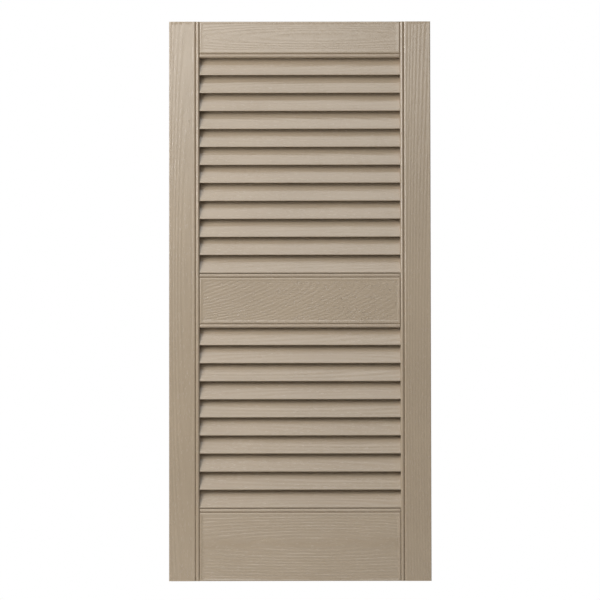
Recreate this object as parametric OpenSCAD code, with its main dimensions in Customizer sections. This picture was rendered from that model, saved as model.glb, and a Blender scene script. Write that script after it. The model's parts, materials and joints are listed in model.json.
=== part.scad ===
// Louvred exterior shutter: two stiles, three rails and two banks of fixed slats.
// X runs across the shutter and Z up it, and the front faces -Y. The backs of the frame members
// lie in the plane y = 0, and the origin is the centre of the frame in that plane.

/* [Overall] */
// Width over both stiles
shutter_w = 368.3; // [300:0.1:600]
// Depth from the back of the frame to the face of the stiles
shutter_d = 28.6; // [27:0.1:40]

/* [Stiles and rails] */
// Width of each stile, with its bead
stile_w = 42.8; // [36:0.1:70]
// Height of the top rail, with its bead
top_rail_h = 50.8; // [40:0.1:150]
// Height of the middle rail, with both beads
mid_rail_h = 76.2; // [45:0.1:200]
// Height of the bottom rail, with its bead
bottom_rail_h = 101.6; // [45:0.1:250]
// How far the rails' faces lie behind the stiles' faces
rail_setback = 0.5; // [0:0.1:1]

/* [Slats] */
// Distance from one slat to the next, measured up the shutter
slat_pitch = 25.4; // [20:0.1:32]
// Number of slats above the middle rail
upper_slats = 12; // [1:1:20]
// Number of slats below the middle rail
lower_slats = 10; // [1:1:20]
// Thickness of a slat, whose nose is rounded to half of it
slat_t = 3; // [2:0.1:4]
// How far the flat underside of a nose lies below the middle of its round
nose_drop = 0.7; // [0.4:0.1:1]
// Lean of the slats from upright, in degrees
slat_lean = 25.8; // [20:0.1:32]
// How far a slat's top edge reaches above the nose of the slat in front of it
slat_overlap = 5; // [3:0.1:6]
// Height of the stop on a rail behind the nose of the slat above, which closes the view under it
stop_h = 2.2; // [1.8:0.1:4]
// Thickness of the stop
stop_t = 2; // [1.2:0.1:3]
// How far the noses lie behind the stiles' faces
nose_setback = 2.2; // [1.6:0.1:4]

/* [Mouldings] */
// Width of the half-round bead on each edge that faces the slats
bead_w = 5.4; // [5.2:0.1:8]
// Radius of the face's edge beside a bead
round_over = 2.4; // [0.6:0.1:4]
// Radius of the face's other edges
edge_r = 1; // [0.3:0.1:2]
// Radius of the rails' ends where they meet the stiles
end_r = 1.2; // [0.3:0.1:2]

/* [Walls and ribs] */
// Thickness of the moulded walls
wall_t = 2.8; // [2:0.1:3.2]
// Thickness of the stiffening ribs
rib_t = 2; // [1.5:0.1:3]
// Widest cell that the ribs leave behind a rail
cell_max = 72; // [40:1:76]
// Widest distance between the ribs behind a stile
stile_rib_pitch = 70; // [40:1:120]

/* [Wall fixings] */
// Radius of the blind holes that the wall fixings come through
fixing_r = 3.2; // [2:0.1:4]
// Outer radius of the bosses around those holes
fixing_boss_r = 6.4; // [5.5:0.1:8]
// Distance of the fixings from the shutter's top and bottom
fixing_inset = 76.2; // [60:0.1:150]

/* [Rail joints] */
// Thickness of the lugs that hold a rail in the stiles
lug_t = 3; // [2:0.1:4]
// Distance of the lugs from the back of the frame
lug_back = 9; // [6:0.1:10]
// How far a lug reaches past the inner wall of its stile
lug_reach = 13.2; // [11:0.1:14]
// Distance from a rail's edges to its lugs
lug_inset = 8; // [7.5:0.1:12]
// Distance of the screws from a lug's edges
screw_edge = 6.6; // [5:0.1:8]
// Radius of a screw's shank
screw_r = 1.7; // [1.2:0.05:2]
// Radius of a screw's head
screw_head_r = 3.8; // [3:0.1:4.2]
// Height of a screw's head
screw_head_h = 2.4; // [1.8:0.1:3]
// Length of screw in the stile's boss
screw_reach = 10; // [6:0.1:11]
// Outer radius of the bosses that the screws turn into
screw_boss_r = 4.2; // [3.6:0.1:4.6]

/* [Clearances] */
// Gap between the end of a rail and the stile, and between a lug and its boss
joint_gap = 0.15; // [0.1:0.05:0.3]
// Clearance all round a slat or a lug in its housing
housing_clear = 0.25; // [0.15:0.05:0.4]
// Gap between a slat's nose and the bead below it
slat_gap = 0.9; // [0.3:0.1:1.5]
// Gap between a slat's top and the rebate that it stands in
rebate_gap = 0.4; // [0.2:0.1:1]
// Clearance of a screw in the hole through its lug
screw_clear = 0.4; // [0.2:0.1:0.6]
// Clearance of a screw in its boss
thread_clear = 0.05; // [0.05:0.05:0.1]

/* [Hidden] */
$fn = 48;
// How far a cutter passes the face that it cuts
over = 1;
clay = [0.73, 0.67, 0.59];
zinc = [0.76, 0.77, 0.78];

// The frame, from the top down
upper_h = upper_slats * slat_pitch;
lower_h = lower_slats * slat_pitch;
shutter_h = top_rail_h + upper_h + mid_rail_h + lower_h + bottom_rail_h;
top_rail_z = shutter_h / 2 - top_rail_h;
mid_rail_z = top_rail_z - upper_h - mid_rail_h;
bottom_rail_z = -shutter_h / 2;
opening_w = shutter_w - 2 * stile_w;
rail_w = opening_w - 2 * joint_gap;
rail_d = shutter_d - rail_setback;
bead_r = bead_w / 2;
// From a beaded edge to where the cavity can come up behind the face
shoulder = bead_w + max(round_over, wall_t);

// The slats: a flat-bottomed nose, a straight blade and a rounded top edge. Each has a line of its own,
// at the top of the bead or of the slat below.
nose_r = slat_t / 2;
nose_back = shutter_d - nose_setback - nose_r;
nose_rise = slat_gap + nose_drop;
blade_rise = slat_pitch + slat_overlap - nose_rise - nose_r;
blade_len = blade_rise / cos(slat_lean);
// A slat's ends stay within the bead, so that no housing breaks through the groove beside it
housing_depth = bead_w - 0.6;
slat_end = housing_depth - housing_clear;
slat_w = opening_w + 2 * slat_end;
upper_lines = [for (i = [1:upper_slats]) top_rail_z - i * slat_pitch];
lower_lines = [for (i = [1:lower_slats]) mid_rail_z - i * slat_pitch];
// The rebate behind a rail's lower edge, which the top of the first slat below stands in
slat_front_at_edge = nose_back - (slat_pitch - nose_rise) * tan(slat_lean) + nose_r / cos(slat_lean);
rebate_back = slat_front_at_edge + rebate_gap;
rebate_h = slat_overlap + rebate_gap;
// The stop's front clears the back of the slat that leans over it
stop_front = nose_back - (stop_h - nose_rise) * tan(slat_lean) - nose_r / cos(slat_lean) - slat_gap;

// Bosses, ribs and screws. Each is placed from a stile's outer edge, or from a rail's lower edge.
face_w = stile_w - bead_w - round_over;
fixing_x = face_w / 2;
fixing_z = shutter_h / 2 - fixing_inset;
fixing_depth = shutter_d - wall_t;
boss_back = lug_back + lug_t + joint_gap;
screw_x = stile_w - wall_t - lug_reach / 2;
screw_len = lug_t + joint_gap + screw_reach;
rib_back = boss_back + over;
rib_end = stile_w - housing_depth - 0.6;
stile_ribs = ceil(shutter_h / stile_rib_pitch) - 1;
head_dome_r = 6;
recess_len = 4;
recess_t = 0.9;
recess_depth = 1.3;

function numbered(name, count) = [for (i = [1:count]) str(name, i < 10 ? "0" : "", i)];
function screw_heights(rail_h) =
    [lug_inset + screw_edge, rail_h - lug_inset - screw_edge];
rails = [[top_rail_z, top_rail_h], [mid_rail_z, mid_rail_h], [bottom_rail_z, bottom_rail_h]];
upper_names = numbered("upper_slat_", upper_slats);
lower_names = numbered("lower_slat_", lower_slats);

// What a round-over takes off a corner that points down and to the left
module corner(r) {
    difference() {
        translate([-over, -over]) square(r + over);
        translate([r, r]) circle(r);
    }
}

module bead(from, depth) {
    translate([from, bead_r - depth]) square([bead_w, depth - bead_r]);
    translate([from + bead_r, bead_r - depth]) circle(bead_r);
}

// Section of a stile or rail. Its width runs along x, and its face points down, at y = -depth.
module member_outline(width, depth, low_bead, high_bead) {
    low = low_bead ? bead_w : 0;
    high = width - (high_bead ? bead_w : 0);
    difference() {
        translate([low, -depth]) square([high - low, depth]);
        translate([low, -depth]) corner(low_bead ? round_over : edge_r);
        translate([high, -depth]) mirror([1, 0]) corner(high_bead ? round_over : edge_r);
    }
    if (low_bead) bead(0, depth);
    if (high_bead) bead(width - bead_w, depth);
}

// Section of the hollow behind a stile or rail, which steps back behind a bead and its groove
module member_cavity(width, depth, low_bead, high_bead) {
    low = low_bead ? shoulder : wall_t;
    high = width - (high_bead ? shoulder : wall_t);
    face_back = depth - wall_t;
    bead_back = face_back - bead_r;
    translate([low, -face_back]) square([high - low, face_back + over]);
    translate([wall_t, -bead_back]) square([width - 2 * wall_t, bead_back + over]);
}

// Section of a slat in the YZ plane, above its line at z = 0
module slat_section(grow = 0) {
    underside = slat_gap - grow;
    difference() {
        translate([-nose_back, nose_rise]) rotate(-slat_lean) {
            circle(nose_r + grow);
            translate([-nose_r - grow, 0]) square([slat_t + 2 * grow, blade_len]);
            translate([0, blade_len]) circle(nose_r + grow);
        }
        translate([-nose_back - slat_t, underside - slat_t]) square([2 * slat_t, slat_t]);
    }
}

module along_x(length) {
    rotate([90, 0, 90]) linear_extrude(length) children();
}

// A cylinder that stands in from the back of the frame, between two depths
module post(x, z, from, to, r) {
    translate([x, -from, z]) rotate([90, 0, 0]) cylinder(h = to - from, r = r);
}

// The left stile, with its outer edge at x = 0
module stile() {
    embed = shutter_d - wall_t / 2;
    difference() {
        union() {
            difference() {
                translate([0, 0, -shutter_h / 2])
                    linear_extrude(shutter_h)
                        member_outline(stile_w, shutter_d, false, true);
                translate([0, 0, wall_t - shutter_h / 2])
                    linear_extrude(shutter_h - 2 * wall_t)
                        member_cavity(stile_w, shutter_d, false, true);
            }
            for (i = [1:1:stile_ribs])
                translate([wall_t / 2, -embed, -shutter_h / 2 + i * shutter_h / (stile_ribs + 1)])
                    translate([0, 0, -rib_t / 2])
                        cube([rib_end - wall_t / 2, embed - rib_back, rib_t]);
            for (z = [-fixing_z, fixing_z]) {
                post(fixing_x, z, 0, embed, fixing_boss_r);
                translate([wall_t / 2, -embed, z - rib_t / 2]) cube([fixing_x - wall_t / 2, embed, rib_t]);
            }
            for (rail = rails, z = screw_heights(rail[1]))
                post(screw_x, rail[0] + z, boss_back, embed, screw_boss_r);
        }
        for (z = [-fixing_z, fixing_z]) post(fixing_x, z, -over, fixing_depth, fixing_r);
        for (rail = rails, z = screw_heights(rail[1]))
            post(screw_x, rail[0] + z, boss_back - over, boss_back + screw_reach + over, screw_r + thread_clear);
        for (z = concat(upper_lines, lower_lines))
            translate([stile_w - housing_depth, 0, z])
                along_x(housing_depth + over) slat_section(housing_clear);
        for (rail = rails) lug_housing(rail[0], rail[1]);
    }
}

module lug_housing(rail_z, rail_h) {
    translate([
        stile_w - wall_t - over,
        -lug_back - lug_t - housing_clear,
        rail_z + lug_inset - housing_clear
    ])
        cube([
            wall_t + 2 * over,
            lug_t + 2 * housing_clear,
            rail_h - 2 * (lug_inset - housing_clear)
        ]);
}

// A rail with its lower edge at z = 0. It has a rebate wherever slats stand below it, and a stop
// wherever they stand above.
module rail(rail_h, low_bead, high_bead) {
    inner_w = rail_w - 2 * wall_t;
    cells = ceil(inner_w / cell_max);
    cell_w = (inner_w - (cells - 1) * rib_t) / cells;
    rows = ceil((rail_h - 2 * wall_t) / cell_max);
    embed = rail_d - wall_t / 2;
    difference() {
        union() {
            difference() {
                rotate([0, -90, 0])
                    linear_extrude(rail_w, center = true)
                        member_outline(rail_h, rail_d, low_bead, high_bead);
                for (i = [0:cells - 1])
                    translate([(i - (cells - 1) / 2) * (cell_w + rib_t), 0, 0])
                        rotate([0, -90, 0])
                            linear_extrude(cell_w, center = true)
                                member_cavity(rail_h, rail_d, low_bead, high_bead);
            }
            for (i = [1:1:rows - 1])
                translate([-inner_w / 2 - over, -embed, i * rail_h / rows - rib_t / 2])
                    cube([inner_w + 2 * over, embed, rib_t]);
            if (high_bead)
                translate([-rail_w / 2, -stop_front, rail_h - wall_t / 2])
                    cube([rail_w, stop_t, stop_h + wall_t / 2]);
        }
        for (side = [0, 1])
            mirror([side, 0, 0])
                translate([-rail_w / 2, -rail_d, -over])
                    linear_extrude(rail_h + 2 * over) corner(end_r);
        if (low_bead)
            translate([-rail_w / 2 - over, -rebate_back, -over])
                cube([rail_w + 2 * over, rebate_back + over, rebate_h + over]);
    }
    for (side = [0, 1]) mirror([side, 0, 0]) lug(rail_h);
}

// The lug at a rail's right end, with the holes for its two screws
module lug(rail_h) {
    start = rail_w / 2 - wall_t / 2;
    end = opening_w / 2 + wall_t + lug_reach;
    difference() {
        translate([start, -lug_back - lug_t, lug_inset])
            cube([end - start, lug_t, rail_h - 2 * lug_inset]);
        for (z = screw_heights(rail_h))
            post(shutter_w / 2 - screw_x, z, lug_back - over, lug_back + lug_t + over, screw_r + screw_clear);
    }
}

module slat(line) {
    color(clay) translate([-slat_w / 2, 0, line]) along_x(slat_w) slat_section();
}

// A pan-head screw with a cross recess, its shank pointing down from z = 0
module screw() {
    tip = 2 * screw_r;
    difference() {
        intersection() {
            cylinder(h = screw_head_h, r = screw_head_r);
            translate([0, 0, screw_head_h - head_dome_r]) sphere(head_dome_r);
        }
        for (turn = [0, 90])
            rotate(turn)
                translate([-recess_len / 2, -recess_t / 2, screw_head_h - recess_depth])
                    cube([recess_len, recess_t, recess_depth + over]);
    }
    translate([0, 0, tip - screw_len]) cylinder(h = screw_len - tip, r = screw_r);
    translate([0, 0, -screw_len]) cylinder(h = tip, r1 = screw_r / 4, r2 = screw_r);
}

module rail_screws(rail_z, rail_h) {
    color(zinc)
        for (side = [-1, 1], z = screw_heights(rail_h))
            translate([side * (shutter_w / 2 - screw_x), -lug_back, rail_z + z])
                rotate([-90, 0, 0]) screw();
}

module left_stile() {
    color(clay) translate([-shutter_w / 2, 0, 0]) stile();
}

module right_stile() {
    color(clay) translate([shutter_w / 2, 0, 0]) mirror([1, 0, 0]) stile();
}

module top_rail() {
    color(clay) translate([0, 0, top_rail_z]) rail(top_rail_h, true, false);
}

module mid_rail() {
    color(clay) translate([0, 0, mid_rail_z]) rail(mid_rail_h, true, true);
}

module bottom_rail() {
    color(clay) translate([0, 0, bottom_rail_z]) rail(bottom_rail_h, false, true);
}

left_stile();
right_stile();
top_rail();
mid_rail();
bottom_rail();
for (i = [1:upper_slats])
    slat(upper_lines[i - 1]);
for (i = [1:lower_slats])
    slat(lower_lines[i - 1]);
rail_screws(top_rail_z, top_rail_h);  // top_rail_screws
rail_screws(mid_rail_z, mid_rail_h);  // mid_rail_screws
rail_screws(bottom_rail_z, bottom_rail_h);  // bottom_rail_screws
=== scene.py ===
"""Finish, studio and camera for a louvred exterior shutter.

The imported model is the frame. Each moulded member and slat of it is copied, its faces are given an
embossed wood grain as real relief, and it takes a satin clay finish with the finer grain. The screws
behind are finished as zinc plate.
"""

import json
import math
from typing import NamedTuple

import bpy
import numpy as np
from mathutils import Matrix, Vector

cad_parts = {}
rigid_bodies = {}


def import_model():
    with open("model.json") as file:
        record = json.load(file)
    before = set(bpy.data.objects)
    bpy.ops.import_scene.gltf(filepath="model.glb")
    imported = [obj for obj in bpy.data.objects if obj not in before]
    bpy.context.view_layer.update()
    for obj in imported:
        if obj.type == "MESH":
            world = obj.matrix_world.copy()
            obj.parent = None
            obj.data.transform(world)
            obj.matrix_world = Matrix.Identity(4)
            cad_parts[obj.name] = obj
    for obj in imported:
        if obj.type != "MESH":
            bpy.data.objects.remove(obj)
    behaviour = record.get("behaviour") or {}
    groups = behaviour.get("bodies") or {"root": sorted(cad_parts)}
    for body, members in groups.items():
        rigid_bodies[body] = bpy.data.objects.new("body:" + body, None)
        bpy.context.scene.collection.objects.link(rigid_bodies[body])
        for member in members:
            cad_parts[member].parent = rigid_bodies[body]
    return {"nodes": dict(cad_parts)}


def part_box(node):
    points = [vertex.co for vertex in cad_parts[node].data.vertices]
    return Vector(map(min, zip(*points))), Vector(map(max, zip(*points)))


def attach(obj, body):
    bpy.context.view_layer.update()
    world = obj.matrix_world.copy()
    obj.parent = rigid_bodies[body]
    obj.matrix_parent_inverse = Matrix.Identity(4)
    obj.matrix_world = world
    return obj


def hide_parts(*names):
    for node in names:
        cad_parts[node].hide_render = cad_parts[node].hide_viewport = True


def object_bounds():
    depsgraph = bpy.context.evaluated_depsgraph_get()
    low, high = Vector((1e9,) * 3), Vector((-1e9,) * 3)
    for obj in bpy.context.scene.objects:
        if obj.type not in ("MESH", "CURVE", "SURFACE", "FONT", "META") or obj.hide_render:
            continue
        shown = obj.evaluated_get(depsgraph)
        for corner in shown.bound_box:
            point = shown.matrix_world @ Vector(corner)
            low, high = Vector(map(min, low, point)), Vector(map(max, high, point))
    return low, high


bl_info = {
    "name": "Louvred Shutter Finish",
    "version": (1, 0, 0),
    "blender": (4, 5, 0),
    "location": "3D Viewport > Sidebar > Shutter",
    "description": "Gives a louvred shutter its embossed wood grain, its finishes and its studio",
    "category": "Object",
}

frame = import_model()
CAD_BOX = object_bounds()

MM = 0.001
BODY = "root"
SCREW_SLOT = "zinc_screw"
STILES = ("left_stile", "right_stile")
RAILS = ("top_rail", "mid_rail", "bottom_rail")
SLATS = tuple(sorted(name for name in frame["nodes"] if "_slat_" in name))
SCREWS = tuple(sorted(name for name in frame["nodes"] if name.endswith("_screws")))
X, Y, Z = 0, 1, 2
MIDDLE = (0.0, 0.0, 0.0)

# Points of a CAD mesh nearer than this are one point
JOIN_DISTANCE = 0.002 * MM
# How far a point of a flat face may lie from its plane
PLANE_TOLERANCE = 0.01 * MM
# How far back the rows are cut into a stile or a rail
FRONT_DEPTH = 2.0 * MM
# Triangles that turn less than this make one flat face
FLAT_ANGLE = math.radians(0.5)
# Edges that turn more than this stay sharp
SMOOTH_ANGLE = math.radians(32.0)
# A wood texture has this many radians of rings to the unit
RING_RADIANS = 20.0
# Length and width of the ridges between the figure lines
RIDGE_LENGTH, RIDGE_WIDTH = 32 * MM, 2.6 * MM
# Fraction of a slat's length from one heart to the next, which keeps near hearts well apart
HEART_TURN = 0.618
# How far above or below the middle of a slat its heart lies
HEART_RISE = 12 * MM

# Length and width of the patches in which the fine grain is deeper
PATCH_LENGTH, PATCH_WIDTH = 90 * MM, 14 * MM
# Places of the noises in their own cells, so that they don't repeat one another
DASH_SHIFT = (3.1, 1.7, 5.3)
PATCH_SHIFT = (7.7, 2.9, 4.1)
# Noise cells to the metre of the clay's faint clouding, and of the zinc's
CLAY_CLOUDS = 9.0
ZINC_CLOUDS = 900.0

FLOOR_DROP = 0.106
FLOOR_Y = -0.15
FLOOR_WIDTH, FLOOR_LENGTH = 2.0, 1.7
CAMERA_HEIGHT = -0.078
AIM_HEIGHT = 0.0007
CAMERA_ROLL = math.radians(-0.077)
SENSOR_WIDTH = 36.0


class Figure(NamedTuple):
    """How the grain of a face runs."""

    heart: tuple  # The middle of its rings
    spacing: float  # Distance from one line to the next
    stretch: float  # How much longer than wide its rings are
    wander: float  # How much its lines stray
    share: float  # Its depth, as a share of the setting
    border: float  # How far its field is let in, as a share of the setting


# Each heart lies a little behind the face, so that the rings open out around it
FIGURES = {
    "left_stile": Figure((-0.158, -0.020, 0.030), 3.8 * MM, 20.0, 4.0, 0.68, 0.15),
    "right_stile": Figure((0.200, -0.020, -0.150), 3.8 * MM, 22.0, 4.0, 0.44, 0.15),
    "top_rail": Figure((0.030, -0.020, 0.372), 2.8 * MM, 14.0, 4.5, 0.33, 0.6),
    "mid_rail": Figure((-0.260, -0.020, 0.060), 3.4 * MM, 3.0, 8.0, 0.62, 1.0),
    "bottom_rail": Figure((0.016, -0.020, -0.341), 4.0 * MM, 10.0, 5.0, 1.65, 1.0),
}


class FineGrain(NamedTuple):
    """The part of a grain that is too fine for the mesh."""

    along: int  # The axis that it runs along
    fibre: tuple  # Length and width of its fibres
    dash: tuple  # Length and width of its pores
    # speckle also sets how strongly the pores are painted darker, as painted shade in their dents.
    speckle: float  # Depth of its pores, as a share of the setting


FINE_GRAINS = {
    "stiles": FineGrain(Z, (30 * MM, 1.6 * MM), (8 * MM, 1.4 * MM), 0.8),
    "top_rail": FineGrain(X, (20 * MM, 1.0 * MM), (5 * MM, 0.8 * MM), 0.5),
    "mid_rail": FineGrain(X, (6 * MM, 1.8 * MM), (3.2 * MM, 2.0 * MM), 2.4),
    "bottom_rail": FineGrain(X, (26 * MM, 1.1 * MM), (7 * MM, 0.8 * MM), 0.4),
    "slats": FineGrain(X, (28 * MM, 1.1 * MM), (9 * MM, 0.7 * MM), 0.3),
}


class SoftLight(NamedTuple):
    """A square soft light. The setting of its name and "_power" is its power."""

    place: tuple
    target: tuple
    size: float


LIGHTS = {
    "key": SoftLight((-1.47, -2.55, 1.70), MIDDLE, 1.3),
    "left": SoftLight((-0.99, -1.10, 0.41), (0.0, 0.0, 0.15), 0.7),
    "front": SoftLight((-0.28, -3.18, 1.16), MIDDLE, 1.3),
    "top": SoftLight((0.0, -1.80, 2.88), MIDDLE, 1.3),
    "back": SoftLight((1.20, 2.60, 0.30), MIDDLE, 1.3),
}


# Settings


class ShutterReliefSettings(bpy.types.PropertyGroup):
    """Sizes of the embossed grain that stands in the meshes."""

    margin: bpy.props.FloatProperty(
        name="Smooth Margin",
        description="Width of the smooth border between an edge and the grain",
        default=1.4 * MM,
        min=0.0,
        unit="LENGTH",
    )
    step: bpy.props.FloatProperty(
        name="Step Width",
        description="Width of the step from the smooth border down to the grain",
        default=0.7 * MM,
        min=0.1 * MM,
        unit="LENGTH",
    )
    recess: bpy.props.FloatProperty(
        name="Recess",
        description="Depth of the grain's field behind its smooth border",
        default=0.12 * MM,
        min=0.0,
        unit="LENGTH",
    )
    figure_depth: bpy.props.FloatProperty(
        name="Figure Depth",
        description="Depth of the broad figure lines",
        default=0.22 * MM,
        min=0.0,
        unit="LENGTH",
    )
    fibre_depth: bpy.props.FloatProperty(
        name="Fibre Depth",
        description="Depth of the fine ridges between the figure lines",
        default=0.12 * MM,
        min=0.0,
        unit="LENGTH",
    )
    cell_length: bpy.props.FloatProperty(
        name="Cell Length",
        description="Length of the mesh cells along the grain",
        default=3.0 * MM,
        min=1.0 * MM,
        unit="LENGTH",
    )
    cell_width: bpy.props.FloatProperty(
        name="Cell Width",
        description="Width of the mesh cells across the grain",
        default=0.6 * MM,
        min=0.2 * MM,
        unit="LENGTH",
    )


class ShutterFinishSettings(bpy.types.PropertyGroup):
    """Colours and gloss of the finishes."""

    clay: bpy.props.FloatVectorProperty(
        name="Clay",
        description="Colour of the moulded polymer",
        default=(0.42, 0.335, 0.24),
        min=0.0,
        max=1.0,
        size=3,
        subtype="COLOR",
    )
    # Painted shade: this darker colour is painted into the pores' dents, standing in for the shade
    # that falls in them.
    painted_pore_shade: bpy.props.FloatVectorProperty(
        name="Pores",
        description="Colour at the bottom of the grain's pores",
        default=(0.34, 0.262, 0.18),
        min=0.0,
        max=1.0,
        size=3,
        subtype="COLOR",
    )
    clay_roughness: bpy.props.FloatProperty(
        name="Clay Roughness",
        description="Roughness of the satin polymer",
        default=0.24,
        min=0.0,
        max=1.0,
    )
    clay_sheen: bpy.props.FloatProperty(
        name="Clay Sheen",
        description="Strength of the polymer's reflections, where 0.5 is that of plain plastic",
        default=1.0,
        min=0.0,
        max=1.0,
    )
    grain_height: bpy.props.FloatProperty(
        name="Fine Grain Height",
        description="Height of the grain that is too fine for the mesh",
        default=0.09 * MM,
        min=0.0,
        unit="LENGTH",
    )
    zinc: bpy.props.FloatVectorProperty(
        name="Zinc",
        description="Colour of the plated screws",
        default=(0.62, 0.63, 0.65),
        min=0.0,
        max=1.0,
        size=3,
        subtype="COLOR",
    )


class ShutterStudioSettings(bpy.types.PropertyGroup):
    """Lights, floor and camera."""

    key_power: bpy.props.FloatProperty(
        name="Key Power",
        description="Power of the large soft light at the upper left",
        default=40.0,
        min=0.0,
        unit="POWER",
    )
    left_power: bpy.props.FloatProperty(
        name="Left Power",
        description="Power of the near soft light at the left",
        default=10.0,
        min=0.0,
        unit="POWER",
    )
    front_power: bpy.props.FloatProperty(
        name="Front Power",
        description="Power of the soft light above the camera",
        default=14.0,
        min=0.0,
        unit="POWER",
    )
    top_power: bpy.props.FloatProperty(
        name="Top Power",
        description="Power of the soft light overhead",
        default=11.0,
        min=0.0,
        unit="POWER",
    )
    back_power: bpy.props.FloatProperty(
        name="Back Power",
        description="Power of the soft light behind the shutter",
        default=12.0,
        min=0.0,
        unit="POWER",
    )
    ambient: bpy.props.FloatProperty(
        name="Ambient",
        description="Strength of the light that comes from all round",
        default=0.04,
        min=0.0,
    )
    camera_distance: bpy.props.FloatProperty(
        name="Camera Distance",
        description="Distance from the camera to the face of the shutter",
        default=3.3,
        min=0.5,
        unit="LENGTH",
    )
    view_width: bpy.props.FloatProperty(
        name="View Width",
        description="Width of what the camera sees at the face of the shutter",
        default=0.844,
        min=0.1,
        unit="LENGTH",
    )


def settings(group):
    return getattr(bpy.context.scene, group)


# Meshes


def deselect_all():
    for obj in bpy.context.view_layer.objects:
        obj.select_set(False)


def activate(obj):
    deselect_all()
    obj.select_set(True)
    bpy.context.view_layer.objects.active = obj


def copy_of(node, name):
    """A copy of a CAD node with its loose triangles joined up and its stored normals dropped."""
    activate(frame["nodes"][node])
    bpy.ops.object.duplicate()
    piece = bpy.context.object
    piece.name = name
    bpy.ops.mesh.customdata_custom_splitnormals_clear()
    bpy.ops.object.mode_set(mode="EDIT")
    bpy.ops.mesh.select_all(action="SELECT")
    bpy.ops.mesh.remove_doubles(threshold=JOIN_DISTANCE)
    bpy.ops.object.mode_set(mode="OBJECT")
    return piece


def polygon_values(piece, name, width):
    values = np.empty(len(piece.data.polygons) * width, dtype=np.float32)
    piece.data.polygons.foreach_get(name, values)
    return values.reshape(-1, width)


def vertex_places(piece):
    places = np.empty(len(piece.data.vertices) * 3, dtype=np.float32)
    piece.data.vertices.foreach_get("co", places)
    return places.reshape(-1, 3)


def select_faces(piece, chosen):
    """Goes into edit mode with only the chosen faces selected."""
    bpy.ops.object.mode_set(mode="EDIT")
    bpy.ops.mesh.select_mode(type="FACE")
    bpy.ops.mesh.select_all(action="DESELECT")
    bpy.ops.object.mode_set(mode="OBJECT")
    piece.data.polygons.foreach_set("select", chosen)
    bpy.ops.object.mode_set(mode="EDIT")


def select_edges(piece, chosen):
    """Goes into edit mode with only the chosen edges selected."""
    bpy.ops.object.mode_set(mode="EDIT")
    bpy.ops.mesh.select_mode(type="EDGE")
    bpy.ops.mesh.select_all(action="DESELECT")
    bpy.ops.object.mode_set(mode="OBJECT")
    piece.data.edges.foreach_set("select", chosen)
    bpy.ops.object.mode_set(mode="EDIT")


def edge_ends(piece):
    ends = np.empty(len(piece.data.edges) * 2, dtype=np.int32)
    piece.data.edges.foreach_get("vertices", ends)
    places = vertex_places(piece)
    ends = ends.reshape(-1, 2)
    return places[ends[:, 0]], places[ends[:, 1]]


def dissolve_flat(piece, in_face):
    """Joins the triangles of one flat face into one face."""
    select_faces(piece, in_face(piece))
    bpy.ops.mesh.dissolve_limited(angle_limit=FLAT_ANGLE)
    bpy.ops.object.mode_set(mode="OBJECT")


def row_places(low, high, cell):
    """Where the rows of about one cell meet, with the step at each end of the grain's field."""
    relief = settings("shutter_relief")
    margins = [relief.margin, relief.margin + relief.step]
    start, end = low + margins[-1], high - margins[-1]
    rows = round((end - start) / cell)
    between = [start + (end - start) * row / rows for row in range(rows + 1)]
    return [low + margins[0], *between, high - margins[0]]


def cut_rows(piece, axis, rows, in_front):
    """Cuts the front of a piece across its grain, at each of the rows."""
    normal = [0.0, 0.0, 0.0]
    normal[axis] = 1.0
    for row in rows:
        centre = [0.0, 0.0, 0.0]
        centre[axis] = row
        select_faces(piece, in_front(piece))
        bpy.ops.mesh.bisect(plane_co=centre, plane_no=normal)
        bpy.ops.object.mode_set(mode="OBJECT")


def cut_columns(piece, axis, width, cell, on_face):
    """Cuts the rows of the flat face along the grain."""
    start, end = edge_ends(piece)
    across = np.abs(end - start)
    chosen = (across[:, axis] < 1e-6) & (np.linalg.norm(end - start, axis=1) > 0.98 * width)
    chosen &= on_face(start) & on_face(end)
    select_edges(piece, chosen)
    bpy.ops.mesh.subdivide(number_cuts=round(width / cell) - 1)
    bpy.ops.object.mode_set(mode="OBJECT")


def grain_texture(name, kind, **values):
    texture = bpy.data.textures.new(name, kind)
    for key, value in values.items():
        setattr(texture, key, value)
    return texture


def grain_space(name, place, along, length, width):
    """An empty whose own units are a length along the grain and a width across it."""
    bpy.ops.object.empty_add(location=place)
    space = bpy.context.object
    space.name = name
    space.scale = [width, width, width]
    space.scale[along] = length
    return space


def emboss(piece, depth, direction, texture=None, space=None):
    """Presses a texture, or a plain recess, into the face, as deep as its "grain" group says."""
    bpy.context.view_layer.update()
    activate(piece)
    modifier = piece.modifiers.new("Emboss", "DISPLACE")
    if texture:
        modifier.texture = texture
        modifier.texture_coords = "OBJECT"
        modifier.texture_coords_object = space
    modifier.direction = direction
    modifier.vertex_group = "grain"
    modifier.mid_level = 0.0
    modifier.strength = depth if direction == "Y" else -depth
    bpy.ops.object.modifier_apply(modifier=modifier.name)


def weigh_grain(piece, weights):
    """Puts the weights of the face's points in the group that the embossing reads."""
    group = piece.vertex_groups.new(name="grain")
    for index in np.nonzero(weights > 0.0)[0]:
        group.add([int(index)], float(weights[index]), "REPLACE")


def smooth_step(values):
    values = np.clip(values, 0.0, 1.0)
    return values * values * (3.0 - 2.0 * values)


def settle(piece, node, material):
    """Shades and finishes a piece that stands for a CAD node, hangs it from its body and hides the
    node.
    """
    activate(piece)
    bpy.ops.object.shade_smooth_by_angle(angle=SMOOTH_ANGLE)
    piece.data.materials.clear()
    piece.data.materials.append(material)
    piece.vertex_groups.clear()
    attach(piece, BODY)
    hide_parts(node)


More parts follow.
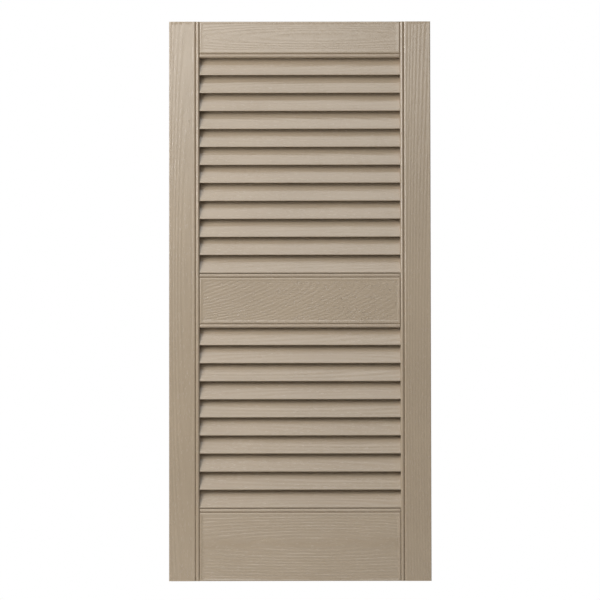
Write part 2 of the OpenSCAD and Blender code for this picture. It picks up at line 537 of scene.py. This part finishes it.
def emboss_grain(piece, along, figure, seed, direction="Y"):
    """Gives a face its recess, its figure lines and the finer ridges between them."""
    relief = settings("shutter_relief")
    rings = grain_texture(
        "Figure", "WOOD", wood_type="RINGNOISE", noise_basis="ORIGINAL_PERLIN",
        noise_scale=1.6, turbulence=figure.wander,
    )
    fibre = grain_texture("Fibres", "CLOUDS", noise_scale=0.8, noise_depth=2)
    width = figure.spacing * RING_RADIANS / math.tau
    heart = grain_space("Figure Heart", figure.heart, along, width * figure.stretch, width)
    place = Vector((0.37, 0.11, 0.23)) * seed
    weave = grain_space("Fibre Space", place, along, RIDGE_LENGTH, RIDGE_WIDTH)
    emboss(piece, relief.recess * figure.border, direction)
    emboss(piece, relief.figure_depth * figure.share, direction, rings, heart)
    emboss(piece, relief.fibre_depth * figure.share, direction, fibre, weave)
    for space in (heart, weave):
        bpy.data.objects.remove(space)


def front_of(piece, depth):
    """Faces within a depth of the foremost point of a piece."""
    centres = polygon_values(piece, "center", 3)
    return centres[:, Y] < vertex_places(piece)[:, Y].min() + depth


def face_span(piece, axis, in_flat):
    """The lowest and highest places of the largest flat face, along one axis."""
    areas = polygon_values(piece, "area", 1)[:, 0]
    best = int(np.argmax(np.where(in_flat(piece), areas, 0.0)))
    corners = [piece.data.vertices[i].co[axis] for i in piece.data.polygons[best].vertices]
    return min(corners), max(corners)


def finish_member(node, along, across, seed, material):
    """A stile or a rail, embossed on its flat face."""
    relief = settings("shutter_relief")
    piece = copy_of(node, node + "_moulding")
    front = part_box(node)[0][Y]

    def on_plane(places):
        return np.abs(places[:, Y] - front) < PLANE_TOLERANCE

    def in_flat(part):
        facing_front = polygon_values(part, "normal", 3)[:, Y] < -0.999
        return on_plane(polygon_values(part, "center", 3)) & facing_front

    dissolve_flat(piece, in_flat)
    low, high = face_span(piece, across, in_flat)
    start, end = face_span(piece, along, in_flat)
    rows = row_places(start, end, relief.cell_length)
    cut_rows(piece, along, rows, lambda part: front_of(part, FRONT_DEPTH))
    cut_columns(piece, along, high - low, relief.cell_width, on_plane)
    places = vertex_places(piece)
    edge = np.minimum(
        np.minimum(places[:, along] - start, end - places[:, along]),
        np.minimum(places[:, across] - low, high - places[:, across]),
    )
    weigh_grain(piece, np.where(on_plane(places), field_weights(edge), 0.0))
    emboss_grain(piece, along, FIGURES[node], seed)
    settle(piece, node, material)


def field_weights(edge):
    """How deep in the grain's field a point lies, from its distance to the nearest edge."""
    relief = settings("shutter_relief")
    return smooth_step((edge - relief.margin) / relief.step)


# Slats


def slat_blank(node, name):
    """A slat with its front face cut into cells. Every slat is a copy of this one."""
    relief = settings("shutter_relief")
    piece = copy_of(node, name)
    normals = polygon_values(piece, "normal", 3)
    areas = polygon_values(piece, "area", 1)[:, 0]
    largest = int(np.argmax(np.where(normals[:, Y] < -0.5, areas, 0.0)))
    normal = normals[largest]
    place = polygon_values(piece, "center", 3)[largest]

    def on_plane(places):
        return np.abs((places - place) @ normal) < PLANE_TOLERANCE

    def in_flat(part):
        facing_front = polygon_values(part, "normal", 3) @ normal > 0.9999
        return on_plane(polygon_values(part, "center", 3)) & facing_front

    dissolve_flat(piece, in_flat)
    start, end = face_span(piece, X, in_flat)
    rows = row_places(start, end, relief.cell_length)
    cut_rows(piece, X, rows, lambda part: polygon_values(part, "normal", 3)[:, Y] < 0.2)
    flat = vertex_places(piece)
    flat = flat[on_plane(flat)]
    width = float(np.hypot(np.ptp(flat[:, Y]), np.ptp(flat[:, Z])))
    cut_columns(piece, X, width, relief.cell_width, on_plane)
    places = vertex_places(piece)
    rise = places[:, Z] - flat[:, Z].min()
    edge = np.minimum(rise, np.ptp(flat[:, Z]) - rise)
    weigh_grain(piece, np.where(on_plane(places), field_weights(edge), 0.0))
    return piece


def slat_figure(number, node):
    """The figure of one slat, with its heart in a place of its own."""
    low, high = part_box(node)
    turn = (number * HEART_TURN) % 1.0
    side = -1.0 if number % 2 else 1.0
    height = (low[Z] + high[Z]) / 2 + side * HEART_RISE
    heart = (low[X] + (high[X] - low[X]) * turn, low[Y], height)
    return Figure(heart, 4.0 * MM, 12.0 + 8.0 * turn, 4.5, 0.4, 0.15)


def finish_slats(material):
    source = SLATS[-1]
    blank = slat_blank(source, "slat_blank")
    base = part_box(source)[0][Z]
    for number, node in enumerate(SLATS):
        activate(blank)
        bpy.ops.object.duplicate()
        piece = bpy.context.object
        piece.name = node + "_moulding"
        bpy.ops.transform.translate(value=(0.0, 0.0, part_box(node)[0][Z] - base))
        bpy.ops.object.transform_apply(location=True, rotation=False, scale=False)
        emboss_grain(piece, X, slat_figure(number, node), 3.0 + 0.71 * number, direction="NORMAL")
        settle(piece, node, material)
    bpy.data.objects.remove(blank)


# Materials


class Signal:
    """A shader socket. An expression on signals and numbers adds its Math nodes."""

    def __init__(self, recipe, socket):
        self.recipe = recipe
        self.socket = socket

    def _math(self, operation, first, second):
        return self.recipe.node("ShaderNodeMath", {"operation": operation}, {0: first, 1: second})

    def __add__(self, other):
        return self._math("ADD", self, other)

    def __radd__(self, other):
        return self._math("ADD", other, self)

    def __sub__(self, other):
        return self._math("SUBTRACT", self, other)

    def __mul__(self, other):
        return self._math("MULTIPLY", self, other)

    def __rmul__(self, other):
        return self._math("MULTIPLY", other, self)


class Recipe:
    """One material, and the nodes that are added to it."""

    def __init__(self, name):
        self.material = bpy.data.materials.new(name)
        self.material.use_nodes = True
        self.tree = self.material.node_tree
        self.tree.nodes.clear()

    def node(self, kind, values=None, inputs=None, output=0):
        """Adds a node, sets its own values and then its sockets, and gives one of its outputs."""
        node = self.tree.nodes.new(kind)
        for key, value in (values or {}).items():
            setattr(node, key, value)
        for key, value in (inputs or {}).items():
            if isinstance(value, Signal):
                self.tree.links.new(value.socket, node.inputs[key])
            else:
                node.inputs[key].default_value = value
        return Signal(self, node.outputs[output]) if node.outputs else None

    def stretched(self, scale, shift):
        place = self.node("ShaderNodeTexCoord", output="Object")
        return self.node(
            "ShaderNodeMapping", {}, {"Vector": place, "Scale": scale, "Location": shift}
        )

    def noise(self, scale, detail=3.0, distortion=0.0, shift=(0.0, 0.0, 0.0)):
        """Noise whose cells measure 1 / scale metres along each axis."""
        return self.node(
            "ShaderNodeTexNoise",
            {},
            {
                "Vector": self.stretched(scale, shift),
                "Scale": 1.0,
                "Detail": detail,
                "Roughness": 0.55,
                "Distortion": distortion,
            },
        )

    def ranged(self, signal, low, high, to_low=0.0, to_high=1.0):
        return self.node(
            "ShaderNodeMapRange",
            {"interpolation_type": "SMOOTHSTEP"},
            {"Value": signal, "From Min": low, "From Max": high, "To Min": to_low, "To Max": to_high},
        )

    def blend(self, factor, first, second):
        return self.node(
            "ShaderNodeMix", {"data_type": "RGBA"}, {0: factor, 6: first, 7: second}, output=2
        )

    def finish(self, shader):
        self.node("ShaderNodeOutputMaterial", {}, {"Surface": shader})
        return self.material


def along_grain(along, length, width):
    """Scale of a pattern whose cells are length long along the grain and width across it."""
    scale = [1.0 / width] * 3
    scale[along] = 1.0 / length
    return scale


def clay_material(member):
    """Satin polymer, coloured right through, with the fine grain of one kind of member, and painted
    shade in the dents of its pores.
    """
    finish = settings("shutter_finish")
    grain = FINE_GRAINS[member]
    recipe = Recipe("Clay, " + member.replace("_", " ").title())
    fibres = recipe.noise(along_grain(grain.along, *grain.fibre), distortion=0.15)
    dashes = recipe.noise(along_grain(grain.along, *grain.dash), detail=2.0, shift=DASH_SHIFT)
    patch_scale = along_grain(grain.along, PATCH_LENGTH, PATCH_WIDTH)
    patches = recipe.noise(patch_scale, detail=2.0, shift=PATCH_SHIFT)
    cloud = recipe.noise([CLAY_CLOUDS] * 3, detail=2.0)
    # Where the pores lie: they dent the bump for real, and the colour is painted darker there as
    # painted shade.
    pores_and_painted_shade = recipe.ranged(dashes, 0.54, 0.70) * recipe.ranged(patches, 0.35, 0.65, 0.35, 1.0)
    clay = list(finish.clay) + [1.0]
    pale = [min(1.0, value * 1.05) for value in finish.clay] + [1.0]
    painted_pore_shade = list(finish.painted_pore_shade) + [1.0]
    body = recipe.blend(recipe.ranged(cloud, 0.3, 0.7), clay, pale)
    # Painted shade: where the pores dent the bump, the colour is darkened towards the pore colour,
    # standing in for the shade in the dents.
    colour = recipe.blend(pores_and_painted_shade * (0.5 * grain.speckle), body, painted_pore_shade)
    height = fibres * recipe.ranged(patches, 0.3, 0.7, 0.55, 1.0) - pores_and_painted_shade * grain.speckle
    bump = recipe.node(
        "ShaderNodeBump", {}, {"Height": height, "Strength": 1.0, "Distance": finish.grain_height}
    )
    rough = finish.clay_roughness + 0.10 * (fibres - 0.5) + 0.08 * pores_and_painted_shade
    shader = recipe.node(
        "ShaderNodeBsdfPrincipled",
        {},
        {
            "Base Color": colour,
            "Roughness": rough,
            "Specular IOR Level": finish.clay_sheen,
            "Normal": bump,
        },
    )
    return recipe.finish(shader)


def zinc_material():
    """Bright zinc plate, a little uneven."""
    recipe = Recipe("Zinc Plate")
    cloud = recipe.noise([ZINC_CLOUDS] * 3)
    bump = recipe.node("ShaderNodeBump", {}, {"Height": cloud, "Distance": 0.01 * MM})
    shader = recipe.node(
        "ShaderNodeBsdfPrincipled",
        {},
        {
            "Base Color": list(settings("shutter_finish").zinc) + [1.0],
            "Metallic": 1.0,
            "Roughness": 0.26 + 0.14 * cloud,
            "Normal": bump,
        },
    )
    return recipe.finish(shader)


def floor_material():
    recipe = Recipe("Pale Floor")
    shader = recipe.node(
        "ShaderNodeBsdfPrincipled", {}, {"Base Color": [0.9, 0.9, 0.9, 1.0], "Roughness": 0.9}
    )
    return recipe.finish(shader)


# Studio


def aim(obj, target, roll=0.0):
    """Turns a light or the camera to face a point."""
    direction = Vector(target) - obj.location
    turn = direction.to_track_quat("-Z", "Y").to_euler()
    turn.rotate_axis("Z", roll)
    obj.rotation_euler = turn


def add_light(name, soft_light, power):
    bpy.ops.object.light_add(type="AREA", location=soft_light.place)
    light = bpy.context.object
    light.name = name
    light.data.shape = "SQUARE"
    light.data.size = soft_light.size
    light.data.energy = power
    aim(light, soft_light.target)


def add_world(ambient):
    """A white ground, and a weaker light from all round."""
    world = bpy.data.worlds.new("Studio")
    bpy.context.scene.world = world
    world.use_nodes = True
    tree = world.node_tree
    tree.nodes.clear()
    seen = tree.nodes.new("ShaderNodeBackground")
    seen.inputs["Color"].default_value = (1.0, 1.0, 1.0, 1.0)
    seen.inputs["Strength"].default_value = 1.0
    lighting = tree.nodes.new("ShaderNodeBackground")
    lighting.inputs["Color"].default_value = (1.0, 0.99, 0.97, 1.0)
    lighting.inputs["Strength"].default_value = ambient
    rays = tree.nodes.new("ShaderNodeLightPath")
    mix = tree.nodes.new("ShaderNodeMixShader")
    out = tree.nodes.new("ShaderNodeOutputWorld")
    tree.links.new(rays.outputs["Is Camera Ray"], mix.inputs[0])
    tree.links.new(lighting.outputs[0], mix.inputs[1])
    tree.links.new(seen.outputs[0], mix.inputs[2])
    tree.links.new(mix.outputs[0], out.inputs["Surface"])


def add_floor():
    """A pale floor a little below the shutter, which hangs from its wall fixings."""
    place = (0.0, FLOOR_Y, CAD_BOX[0][Z] - FLOOR_DROP)
    bpy.ops.mesh.primitive_plane_add(size=1.0, location=place)
    floor = bpy.context.object
    floor.name = "floor"
    floor.scale = (FLOOR_WIDTH, FLOOR_LENGTH, 1.0)
    bpy.ops.object.transform_apply(location=True, rotation=True, scale=True)
    floor.data.materials.append(floor_material())


def add_camera():
    studio = settings("shutter_studio")
    face = CAD_BOX[0][Y]
    bpy.ops.object.camera_add(location=(0.0, face - studio.camera_distance, CAMERA_HEIGHT))
    camera = bpy.context.object
    camera.name = "camera"
    aim(camera, (0.0, face, AIM_HEIGHT), CAMERA_ROLL)
    distance = (Vector((0.0, face, 0.0)) - camera.location).length
    camera.data.sensor_width = SENSOR_WIDTH
    camera.data.lens = SENSOR_WIDTH * distance / studio.view_width
    camera.data.clip_end = 20.0
    bpy.context.scene.camera = camera


# Operators


class SHUTTER_OT_finish_stiles(bpy.types.Operator):
    """Emboss and finish both stiles, with the grain running up them"""

    bl_idname = "shutter.finish_stiles"
    bl_label = "Finish Stiles"

    def execute(self, context):
        material = clay_material("stiles")
        for number, node in enumerate(STILES):
            finish_member(node, Z, X, 1.0 + number, material)
        return {"FINISHED"}


class SHUTTER_OT_finish_rails(bpy.types.Operator):
    """Emboss and finish the three rails, with the grain running along them"""

    bl_idname = "shutter.finish_rails"
    bl_label = "Finish Rails"

    def execute(self, context):
        for number, node in enumerate(RAILS):
            finish_member(node, X, Z, 11.0 + number, clay_material(node))
        return {"FINISHED"}


class SHUTTER_OT_finish_slats(bpy.types.Operator):
    """Emboss and finish every slat, each with a grain of its own"""

    bl_idname = "shutter.finish_slats"
    bl_label = "Finish Slats"

    def execute(self, context):
        finish_slats(clay_material("slats"))
        return {"FINISHED"}


class SHUTTER_OT_finish_screws(bpy.types.Operator):
    """Finish the screws behind the rails' ends as zinc plate"""

    bl_idname = "shutter.finish_screws"
    bl_label = "Finish Screws"

    def execute(self, context):
        material = zinc_material()
        for node in SCREWS:
            for slot in frame["nodes"][node].material_slots:
                slot.material = material
        return {"FINISHED"}


class SHUTTER_OT_set_stage(bpy.types.Operator):
    """Add the floor, the lights and the camera"""

    bl_idname = "shutter.set_stage"
    bl_label = "Set Stage"

    def execute(self, context):
        studio = settings("shutter_studio")
        add_world(studio.ambient)
        add_floor()
        for name, soft_light in LIGHTS.items():
            add_light(name, soft_light, getattr(studio, name + "_power"))
        add_camera()
        context.scene.view_settings.view_transform = "Standard"
        return {"FINISHED"}


class SHUTTER_PT_panel(bpy.types.Panel):
    """Buttons that finish the shutter, one kind of piece at a time"""

    bl_label = "Louvred Shutter"
    bl_idname = "SHUTTER_PT_panel"
    bl_space_type = "VIEW_3D"
    bl_region_type = "UI"
    bl_category = "Shutter"

    def draw(self, context):
        for operator in OPERATORS:
            self.layout.operator(operator.bl_idname)
        for group in GROUPS:
            box = self.layout.box()
            values = getattr(context.scene, group)
            for name in values.bl_rna.properties.keys():
                if name not in {"rna_type", "name"}:
                    box.prop(values, name)


GROUPS = {
    "shutter_relief": ShutterReliefSettings,
    "shutter_finish": ShutterFinishSettings,
    "shutter_studio": ShutterStudioSettings,
}
OPERATORS = (
    SHUTTER_OT_finish_stiles,
    SHUTTER_OT_finish_rails,
    SHUTTER_OT_finish_slats,
    SHUTTER_OT_finish_screws,
    SHUTTER_OT_set_stage,
)


def register():
    for kind in (*GROUPS.values(), *OPERATORS, SHUTTER_PT_panel):
        bpy.utils.register_class(kind)
    for name, kind in GROUPS.items():
        setattr(bpy.types.Scene, name, bpy.props.PointerProperty(type=kind))


def unregister():
    for name in GROUPS:
        delattr(bpy.types.Scene, name)
    for kind in reversed((*GROUPS.values(), *OPERATORS, SHUTTER_PT_panel)):
        bpy.utils.unregister_class(kind)


def main():
    register()
    bpy.ops.shutter.finish_stiles()
    bpy.ops.shutter.finish_rails()
    bpy.ops.shutter.finish_slats()
    bpy.ops.shutter.finish_screws()
    bpy.ops.shutter.set_stage()


if __name__ == "__main__":
    main()
